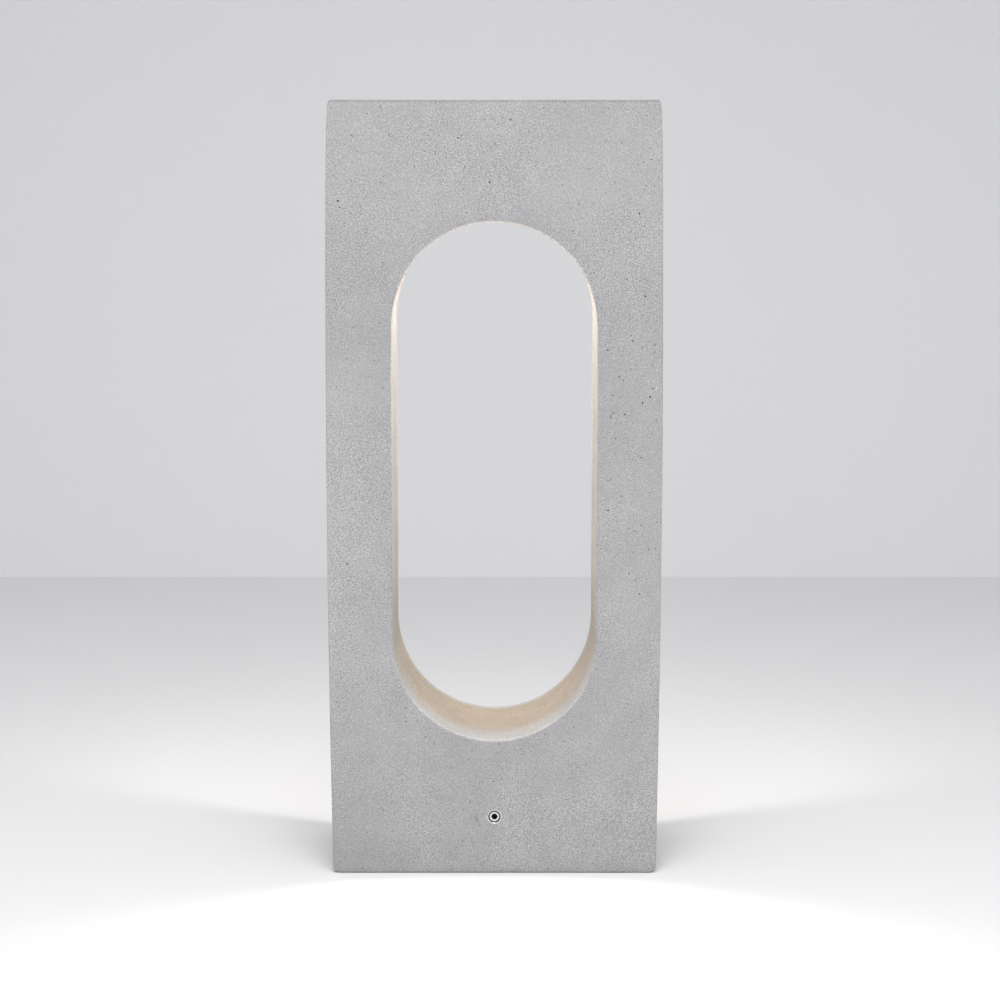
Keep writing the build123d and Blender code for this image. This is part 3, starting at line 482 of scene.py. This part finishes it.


def concrete():
    s = Shader("cast_concrete")
    x, y, z = s.xyz()
    clouds = s.ramp(s.noise(62 * MM, 3, 0.55), 0.3, 0.7, 0.955, 1.04)
    patches = s.ramp(s.noise(15 * MM, 3, 0.6), 0.3, 0.7, 0.972, 1.026)
    busy = s.ramp(s.noise(55 * MM, 2), 0.35, 0.65, 0.55, 1.25)
    sand = s.minus(s.ramp(s.noise(SAND_SIZE, 2, 0.8), 0.30, 0.70, 0.0, 1.0), 0.5)
    sand = s.plus(1.0, s.times(s.times(sand, SAND_AMOUNT), busy))
    dust = s.ramp(s.noise(0.5 * MM, 1, 0.6), 0.3, 0.7, 0.87, 1.13)
    value = s.times(s.times(clouds, patches), s.times(sand, dust))
    # Pale sand grains, in some of the cells only.
    grain = s.ramp(s.cells(FLECK_CELL), 0.10, 0.24, 1.0, 0.0)
    chosen = s.ramp(s.cells(FLECK_CELL, "Color"), 0.46, 0.54)
    flecks = s.times(grain, chosen)
    # Painted shade in pin holes too small to model.
    pin = s.ramp(s.cells(PIN_CELL), 0.05, 0.11, 1.0, 0.0)
    few = s.ramp(s.cells(PIN_CELL, "Color"), 0.68, 0.72)
    pins = s.times(pin, few)
    value = s.plus(value, s.times(flecks, FLECK_GAIN))
    value = s.minus(value, s.times(pins, PIN_PAINTED_SHADE))
    # A cooler, slightly darker band round the tunnel, where the mould core sat.
    centre = s.math("MINIMUM", s.math("MAXIMUM", z, ARC_LOW_Z), ARC_HIGH_Z)
    past = s.minus(z, centre)
    from_tunnel = s.math("SQRT", s.plus(s.times(x, x), s.times(past, past)))
    wander = s.times(s.minus(s.noise(22 * MM, 2), 0.5), 26 * MM)
    band = s.ramp(s.plus(from_tunnel, wander), TUNNEL_R, TUNNEL_R + BAND_WIDTH, 1.0, 0.0)
    value = s.times(value, s.minus(1.0, s.times(band, BAND_LOSS)))
    # The face is a little darker towards the foot.
    foot = s.ramp(s.plus(z, s.times(wander, 1.2)), 5 * MM, 120 * MM, FOOT_SHADE, 1.0)
    value = s.times(value, foot)
    value = s.times(value, scuff(s, x, z))
    tint_and_light = s.mix(s.times(band, 0.6), FACE_TINT, BAND_TINT)
    # Inside the tunnel the colour is painted light: warm deep in the bottom, neutral near the mouths and
    # further in at the front, paler up the walls.
    depth = s.minus(HALF_DEPTH, s.math("ABSOLUTE", y))
    inside = s.ramp(depth, 0.5 * MM, 4 * MM)
    skin = s.ramp(from_tunnel, TUNNEL_R + 1.5 * MM, TUNNEL_R + 3 * MM, 1.0, 0.0)
    inside = s.times(inside, skin)
    from_front = s.plus(s.plus(y, HALF_DEPTH), s.times(wander, 0.3))
    tan = s.times(s.ramp(from_front, 8 * MM, 38 * MM), s.ramp(depth, 1 * MM, 12 * MM))
    bottom = s.mix(tan, TUNNEL_MOUTH_LIGHT, TUNNEL_WARM_LIGHT)
    rise = s.ramp(z, ARC_LOW_Z - TUNNEL_R, ARC_LOW_Z + 40 * MM)
    tint_and_light = s.mix(inside, tint_and_light, s.mix(rise, bottom, TUNNEL_WALL_LIGHT))
    # Painted shade darkens the top arris, and a painted highlight marks the rim of the crown.
    value = s.times(value, s.ramp(z, high.z - 2.2 * MM, high.z - 0.4 * MM, 1.0, TOP_SHADE))
    # Painted highlight: a warm pale line along the rim of the crown, where the lamp's light catches it.
    glint = s.ramp(from_tunnel, TUNNEL_R + 0.3 * MM, TUNNEL_R + 1.5 * MM, 1.0, 0.0)
    glint = s.times(glint, s.ramp(z, ARC_HIGH_Z + 8 * MM, ARC_HIGH_Z + 36 * MM))
    tint_and_light = s.mix(s.times(glint, s.ramp(depth, 2 * MM, 4 * MM, 1.0, 0.0)), tint_and_light, RIM_HIGHLIGHT)
    value = s.times(value, pore_shade(s, x, z, depth, from_tunnel))
    s.set(Base_Color=s.scale(tint_and_light, value), Roughness=s.ramp(s.noise(6 * MM, 3), 0.3, 0.7, 0.82, 0.95))
    s.set(Specular_IOR_Level=0.28)
    fine = s.bump(s.noise(1.0 * MM, 3, 0.7), 0.16 * MM, 0.8)
    holes = s.bump(s.minus(1.0, pins), 0.35 * MM, 0.7, fine)
    s.set(Normal=s.bump(s.noise(6 * MM, 2), 0.25 * MM, 0.5, holes))
    return s.material


def pore_shade(s, x, z, depth, from_tunnel):
    """Painted shade in the air holes of the front and back faces: 1 on the faces, dark below them."""
    below = s.times(s.ramp(depth, 0.33 * MM, 0.6 * MM), s.ramp(depth, 2.0 * MM, 2.5 * MM, 1.0, 0.0))
    clear = s.ramp(from_tunnel, TUNNEL_R + 2 * MM, TUNNEL_R + 3 * MM)
    inner = s.ramp(s.math("ABSOLUTE", x), TOP_HALF - 4 * MM, TOP_HALF - 3 * MM, 1.0, 0.0)
    level = s.times(s.ramp(z, 5 * MM, 6 * MM), s.ramp(z, high.z - 4 * MM, high.z - 3 * MM, 1.0, 0.0))
    here = s.times(s.times(below, clear), s.times(inner, level))
    return s.minus(1.0, s.times(here, PORE_PAINTED_SHADE))


def scuff(s, x, z):
    """A faint slanting rub mark beside the front screw: 1 clear of it, darker on it."""
    sleeve_low, sleeve_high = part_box("sleeve_front")
    mark_x = (sleeve_low.x + sleeve_high.x) / 2 - 8.5 * MM
    mark_z = (sleeve_low.z + sleeve_high.z) / 2 - 2.5 * MM
    across = s.minus(x, mark_x)
    up = s.minus(z, mark_z)
    slant = s.plus(s.times(across, 0.90), s.times(up, 0.44))
    run = s.minus(s.times(up, 0.90), s.times(across, 0.44))
    wobble = s.times(s.minus(s.noise(3 * MM, 2), 0.5), 1.6 * MM)
    width = s.ramp(s.math("ABSOLUTE", s.plus(slant, wobble)), 0.15 * MM, 0.8 * MM, 1.0, 0.0)
    length = s.ramp(s.math("ABSOLUTE", run), 2.4 * MM, 4.8 * MM, 1.0, 0.0)
    gaps = s.ramp(s.noise(1.3 * MM, 2), 0.36, 0.58, 0.25, 1.0)
    broken = s.times(s.times(width, length), gaps)
    return s.minus(1.0, s.times(broken, SCUFF_LOSS))


def metal_shader(name, colour, rough, grain_size, stretch=(1, 1, 1), bump=0.02):
    """Bare metal with a drawn or turned grain and finger marks, and its shaded colour."""
    s = Shader(name)
    turned = s.tree.nodes.new("ShaderNodeMapping")
    s.put(s.place, turned.inputs["Vector"])
    turned.inputs["Scale"].default_value = stretch
    grain = s.noise(grain_size, 3, 0.6, turned.outputs[0])
    marks = s.noise(7 * MM, 3, 0.6)
    shade = s.times(s.ramp(grain, 0.3, 0.7, 0.90, 1.06), s.ramp(marks, 0.3, 0.7, 0.93, 1.04))
    shaded = s.scale(colour, shade)
    s.set(Base_Color=shaded, Metallic=1.0)
    s.set(Roughness=s.plus(rough, s.ramp(grain, 0.3, 0.7, -0.06, 0.10)))
    s.set(Normal=s.bump(grain, bump * MM, 0.6))
    return s, shaded


def metal(*settings, **more):
    return metal_shader(*settings, **more)[0].material


DRAWN = (1, 0.15, 1)  # stretches the grain of drawn bar along Y
# Colour of the painted shade in the screws' recesses and on their chamfer ring.
RECESS_SHADE = (0.028, 0.026, 0.024)


def clamp_steel(name, node, bore, shade_radii):
    """Steel of a set screw or its sleeve, with painted shade behind its outer end and on a ring between two
    radii.
    """
    s, shaded = metal_shader(name, (0.66, 0.65, 0.63), 0.25, 0.5 * MM, DRAWN)
    end_low, end_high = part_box(node)
    centre_x, centre_z = (end_low.x + end_high.x) / 2, (end_low.z + end_high.z) / 2
    outer = max(abs(end_low.y), abs(end_high.y))
    x, y, z = s.xyz()
    across, up = s.minus(x, centre_x), s.minus(z, centre_z)
    radius = s.math("SQRT", s.plus(s.times(across, across), s.times(up, up)))
    depth = s.minus(outer, s.math("ABSOLUTE", y))
    # Painted shade inside the bore behind the outer end, and on a ring between two radii.
    painted_shade = s.times(s.ramp(depth, 0.25 * MM, 1.0 * MM), s.ramp(radius, bore, bore + 0.1 * MM, 1.0, 0.0))
    inner = s.ramp(radius, shade_radii[0], shade_radii[0] + 0.15 * MM)
    ring = s.times(inner, s.ramp(radius, shade_radii[1], shade_radii[1] + 0.15 * MM, 1.0, 0.0))
    painted_shade = s.math("MAXIMUM", painted_shade, ring)
    s.set(Base_Color=s.mix(painted_shade, shaded, RECESS_SHADE), Metallic=s.minus(1.0, painted_shade))
    s.set(Roughness=s.ramp(painted_shade, 0.0, 1.0, 0.25, 0.85))
    return s.material


def moulded(name, colour, rough, texture=0.5, spread=0.08, bump=0.03, sheen=0.0):
    """Moulded plastic, rubber or mask: fine spark texture with slight flow marks."""
    s = Shader(name)
    pits = s.noise(texture * MM, 2, 0.6)
    flow = s.noise(11 * MM, 3, 0.5)
    shade = s.times(s.ramp(pits, 0.3, 0.7, 1 - spread, 1 + spread), s.ramp(flow, 0.3, 0.7, 0.94, 1.05))
    s.set(Base_Color=s.scale(colour, shade), Roughness=s.ramp(flow, 0.3, 0.7, rough - 0.05, rough + 0.06))
    s.set(Normal=s.bump(pits, bump * MM, 0.7))
    if sheen:
        s.set(Sheen_Weight=sheen)
    return s.material


TRACK_PITCH = 2.4 * MM


def circuit(name, mask, copper):
    """Solder mask over copper tracks that show as slightly lighter, raised bands."""
    s = Shader(name)
    bent = s.plus(s.xyz()[0], s.times(s.noise(14 * MM), 9 * MM))
    tracks = s.ramp(s.math("FRACT", s.times(bent, 1 / TRACK_PITCH)), 0.42, 0.5)
    pads = s.ramp(s.cells(3.2 * MM), 0.16, 0.2, 1.0, 0.0)
    cover = s.math("MAXIMUM", s.times(tracks, 0.5), s.times(pads, 0.5))
    s.set(Base_Color=s.mix(cover, mask, copper), Roughness=s.ramp(s.noise(4 * MM), 0.3, 0.7, 0.28, 0.42))
    s.set(Normal=s.bump(cover, 0.03 * MM, 0.6))
    return s.material


LAMP_COLOUR = (1.0, 0.975, 0.93)
LAMP_POWER = 42.0


def opal():
    """Lit opal diffuser: brighter over the rows of chips, dimmer at the rim."""
    s = Shader("opal_diffuser")
    box_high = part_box("diffuser")[1]
    x, y = s.xyz()[:2]
    across = s.ramp(s.math("ABSOLUTE", x), 0.55 * box_high.x, box_high.x, 1.0, 0.55)
    deep = s.ramp(s.math("ABSOLUTE", y), 0.45 * box_high.y, box_high.y, 1.0, 0.6)
    haze = s.ramp(s.noise(2.2 * MM, 2), 0.3, 0.7, 0.97, 1.03)
    glow = s.times(s.times(across, deep), haze)
    s.set(Base_Color=s.scale((0.88, 0.86, 0.80), haze), Roughness=0.38)
    s.set(Emission_Color=s.scale(LAMP_COLOUR, glow), Emission_Strength=LAMP_POWER)
    s.set(Normal=s.bump(s.noise(0.6 * MM), 0.02 * MM, 0.4))
    return s.material


def phosphor():
    s = Shader("led_phosphor")
    grains = s.ramp(s.noise(0.3 * MM, 2), 0.3, 0.7, 0.9, 1.08)
    s.set(Base_Color=s.scale((0.86, 0.66, 0.16), grains), Roughness=0.45)
    s.set(Emission_Color=s.scale(LAMP_COLOUR, grains), Emission_Strength=6.0)
    return s.material


def make_materials():
    steel = metal("stainless_steel", (0.60, 0.59, 0.57), 0.27, 0.5 * MM, DRAWN)
    return {
        "stainless": steel,
        "brass": metal("turned_brass", (0.66, 0.47, 0.20), 0.33, 0.4 * MM, (1, 1, 5)),
        "gland_nickel": metal("nickel_plate", (0.58, 0.55, 0.50), 0.24, 0.6 * MM, (1, 1, 4)),
        "rubber": moulded("black_rubber", (0.022, 0.022, 0.022), 0.72, 0.35, 0.15, 0.04, 0.1),
        "case_plastic": moulded("case_polycarbonate", (0.045, 0.045, 0.05), 0.52, 0.4),
        "conduit_plastic": moulded("conduit_tube", (0.20, 0.20, 0.21), 0.5, 0.7),
        "lead_jacket": moulded("silicone_jacket", (0.035, 0.035, 0.035), 0.6, 0.5),
        "circuit_board": circuit("green_mask", (0.018, 0.12, 0.05), (0.06, 0.27, 0.10)),
        "led_board_white": circuit("white_mask", (0.80, 0.80, 0.78), (0.70, 0.69, 0.66)),
        "ferrite": moulded("ferrite_core", (0.06, 0.06, 0.065), 0.6, 0.25, 0.2, 0.05),
        "capacitor_can": moulded("can_sleeve", (0.03, 0.035, 0.08), 0.3, 0.8, 0.05, 0.01),
        "cast_aluminium": metal("blasted_aluminium", (0.56, 0.56, 0.56), 0.46, 0.35 * MM, bump=0.04),
        "bezel_aluminium": moulded("powder_coat", (0.30, 0.30, 0.305), 0.55, 0.45, 0.1, 0.06),
        "opal_diffuser": opal(),
        "thermal_silicone": moulded("thermal_pad", (0.42, 0.44, 0.50), 0.7, 0.9, 0.06, 0.05),
        "led_phosphor": phosphor(),
    }


def dress(materials):
    """Gives each carried-over CAD node the material of its slot."""
    for part in frame["record"]["subparts"]:
        if part["material_slot"] in materials:
            piece = nodes[part["node"]]
            piece.data.materials.clear()
            piece.data.materials.append(materials[part["material_slot"]])


def dress_clamps():
    """Gives the set screws and their sleeves steel with painted shade behind the outer end."""
    for side in ("front", "rear"):
        low_end, high_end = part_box("set_screw_" + side)
        screw_r = (high_end.x - low_end.x) / 2
        bore = screw_r + 0.1 * MM
        shade_radii = (screw_r - 0.55 * MM, bore)
        for node in ("set_screw_" + side, "sleeve_" + side):
            nodes[node].data.materials.clear()
            nodes[node].data.materials.append(clamp_steel(node + "_steel", node, bore, shade_radii))


# ---- Floor, backdrop, camera and light -------------------------------------------------------------

BACKDROP_Y = 0.968
STAGE_HALF = 4.0
BACKDROP_TOP = 3.0
EYE = Vector((0.0029, -1.520, 0.3835))
AIM = Vector((0.0029, 0, 0.1904))
LENS = 104.2
SENSOR = 36

WORLD_POWER = 0.615
OVERHEAD_POWER = 1.2
NEAR_POWER = 6.8
FLOOR_Z = -0.2 * MM  # just clear of the underside, which would otherwise share its plane
FRONT_BEAM, REAR_BEAM = 1.2, 2.6  # power of the spot light towards each mouth
BEAM_TILT, BEAM_CONE = math.radians(25), math.radians(84)
BEAM_COLOUR = (1.0, 0.95, 0.87)
BEAM_DROP, BEAM_SOFTNESS = 1 * MM, 8 * MM  # below the bezel, and the size of the source
WORLD_COLOUR = (0.97, 0.98, 1.0, 1)
LIGHT_HEIGHT, LIGHT_SPREAD = 1.5, math.radians(110)


def plain(name, colour, rough):
    """Painted studio surface with the faintest unevenness, clear from behind so that it hides no view."""
    s = Shader(name)
    drift = s.ramp(s.noise(0.6, 2), 0.3, 0.7, 0.99, 1.01)
    s.set(Base_Color=s.scale(colour, drift), Roughness=rough, Specular_IOR_Level=0.2)
    behind = s.tree.nodes.new("ShaderNodeNewGeometry").outputs["Backfacing"]
    s.set(Alpha=s.minus(1.0, behind))
    return s.material


def sheet(name, corners, material):
    mesh = bpy.data.meshes.new(name)
    mesh.from_pydata(corners, [], [(0, 1, 2, 3)])
    piece = new_object(name, mesh)
    mesh.materials.append(material)
    return piece


def make_stage():
    side, near, back, top = STAGE_HALF, -STAGE_HALF, BACKDROP_Y, BACKDROP_TOP
    floor = plain("floor_paint", (0.765, 0.760, 0.764), 0.7)
    wall_paint = plain("wall_paint", (0.91, 0.91, 0.92), 0.9)
    corners = [(-side, near), (side, near), (side, back), (-side, back)]
    sheet("floor", [(x, y, FLOOR_Z) for x, y in corners], floor)
    wall_corners = [(-side, 0), (side, 0), (side, top), (-side, top)]
    sheet("backdrop", [(x, back, z) for x, z in wall_corners], wall_paint)


def add_lamp(name, kind, place, target, power, colour=(1, 1, 1)):
    data = bpy.data.lights.new(name, kind)
    data.energy = power
    data.color = colour
    lamp = bpy.data.objects.new(name, data)
    lamp.location = place
    lamp.rotation_euler = (Vector(target) - Vector(place)).to_track_quat("-Z", "Y").to_euler()
    bpy.context.scene.collection.objects.link(lamp)
    return lamp


def area_light(name, place, target, size, power):
    lamp = add_lamp(name, "AREA", place, target, power)
    lamp.data.shape = "RECTANGLE"
    lamp.data.size, lamp.data.size_y = size
    lamp.data.spread = LIGHT_SPREAD


def make_studio_light():
    world = bpy.data.worlds.new("studio")
    bpy.context.scene.world = world
    world.use_nodes = True
    world.node_tree.nodes["Background"].inputs[0].default_value = WORLD_COLOUR
    world.node_tree.nodes["Background"].inputs[1].default_value = WORLD_POWER
    area_light("overhead", (0, -0.05, LIGHT_HEIGHT), (0, -0.05, 0), (1.6, 0.7), OVERHEAD_POWER)
    area_light("near_overhead", (0, -0.7, LIGHT_HEIGHT), (0, -0.45, 0), (0.5, 0.8), NEAR_POWER)


def make_beams(block):
    """Two spot lights, carried by the block, that stand in for part of the module's light."""
    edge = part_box("diffuser")[1].y
    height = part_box("bezel")[0].z - BEAM_DROP
    for side, name, power in ((-1, "front_beam", FRONT_BEAM), (1, "rear_beam", REAR_BEAM)):
        place = Vector((0, side * edge, height))
        aim = Vector((0, side * (edge + height * math.tan(BEAM_TILT)), 0))
        beam = add_lamp(name, "SPOT", place, aim, power, BEAM_COLOUR)
        beam.data.spot_size = BEAM_CONE
        beam.data.spot_blend = 1.0
        beam.data.shadow_soft_size = BEAM_SOFTNESS
        beam.parent = block


def make_camera():
    data = bpy.data.cameras.new("camera")
    camera = bpy.data.objects.new("camera", data)
    bpy.context.scene.collection.objects.link(camera)
    data.lens = LENS
    data.sensor_width = SENSOR
    camera.location = EYE
    camera.rotation_euler = (AIM - EYE).to_track_quat("-Z", "Y").to_euler()
    bpy.context.scene.camera = camera


make_camera()
make_stage()
make_studio_light()
dress(make_materials())
dress_clamps()
block = make_block()
block.data.materials.append(concrete())
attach(block, "lantern")
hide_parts("concrete_body")
make_beams(block)
bpy.context.scene.view_settings.view_transform = "Standard"
